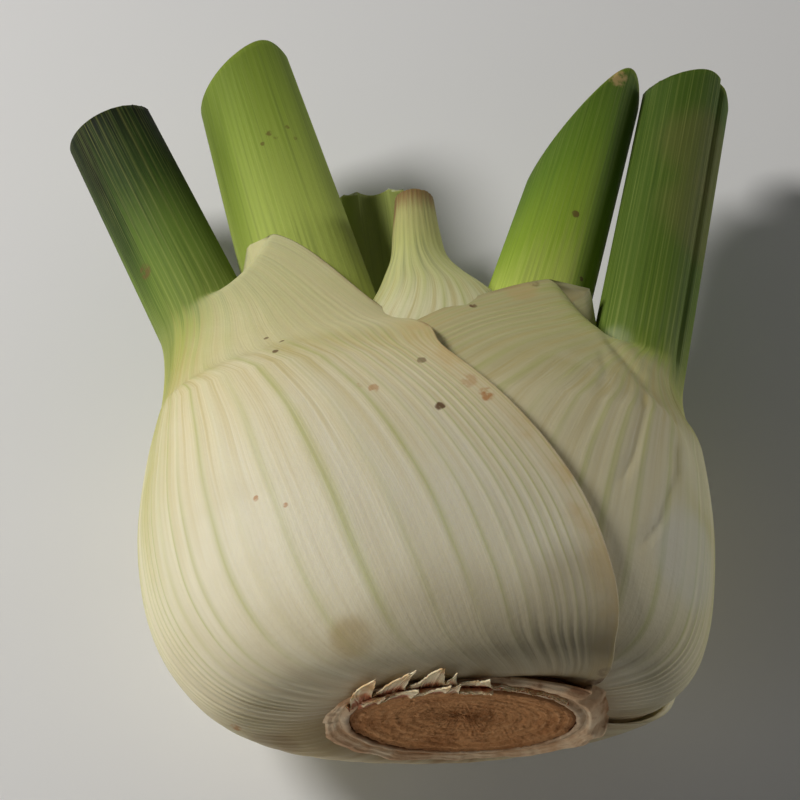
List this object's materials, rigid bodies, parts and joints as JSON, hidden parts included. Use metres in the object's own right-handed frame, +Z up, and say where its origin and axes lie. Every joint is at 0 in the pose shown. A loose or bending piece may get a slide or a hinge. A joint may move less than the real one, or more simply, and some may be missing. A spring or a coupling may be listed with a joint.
{
  "type": "fennel bulb",
  "caption": "Fresh fennel bulb with wrapped leaf sheaths, trimmed stalks and a cut root plate, lying on its back.",
  "frame": {"origin": "middle of the flat spot on the bulb's back, on the surface that it lies on", "axes": "+Y along the bulb from the root plate to the stalks, +Z up out of its front side, +X to the right seen from the root end"},
  "size_m": [0.1336, 0.1514, 0.0659],
  "materials": {
    "outer_leaf": "smooth waxy leaf base, cream turning green up the stalk",
    "inner_leaf": "smooth waxy leaf, pale base and green stalk",
    "short_leaf": "dull dark green leaf",
    "heart": "pale green young leaf, cut short",
    "crown": "rough, dried, fibrous cut"
  },
  "bodies": {
    "root": {"leaf_left_outer": "outer_leaf", "leaf_right_outer": "outer_leaf", "leaf_left_inner": "inner_leaf", "leaf_right_inner": "inner_leaf", "leaf_back_short": "short_leaf", "heart_leaf": "heart", "root_crown": "crown"}
  },
  "joints": []
}
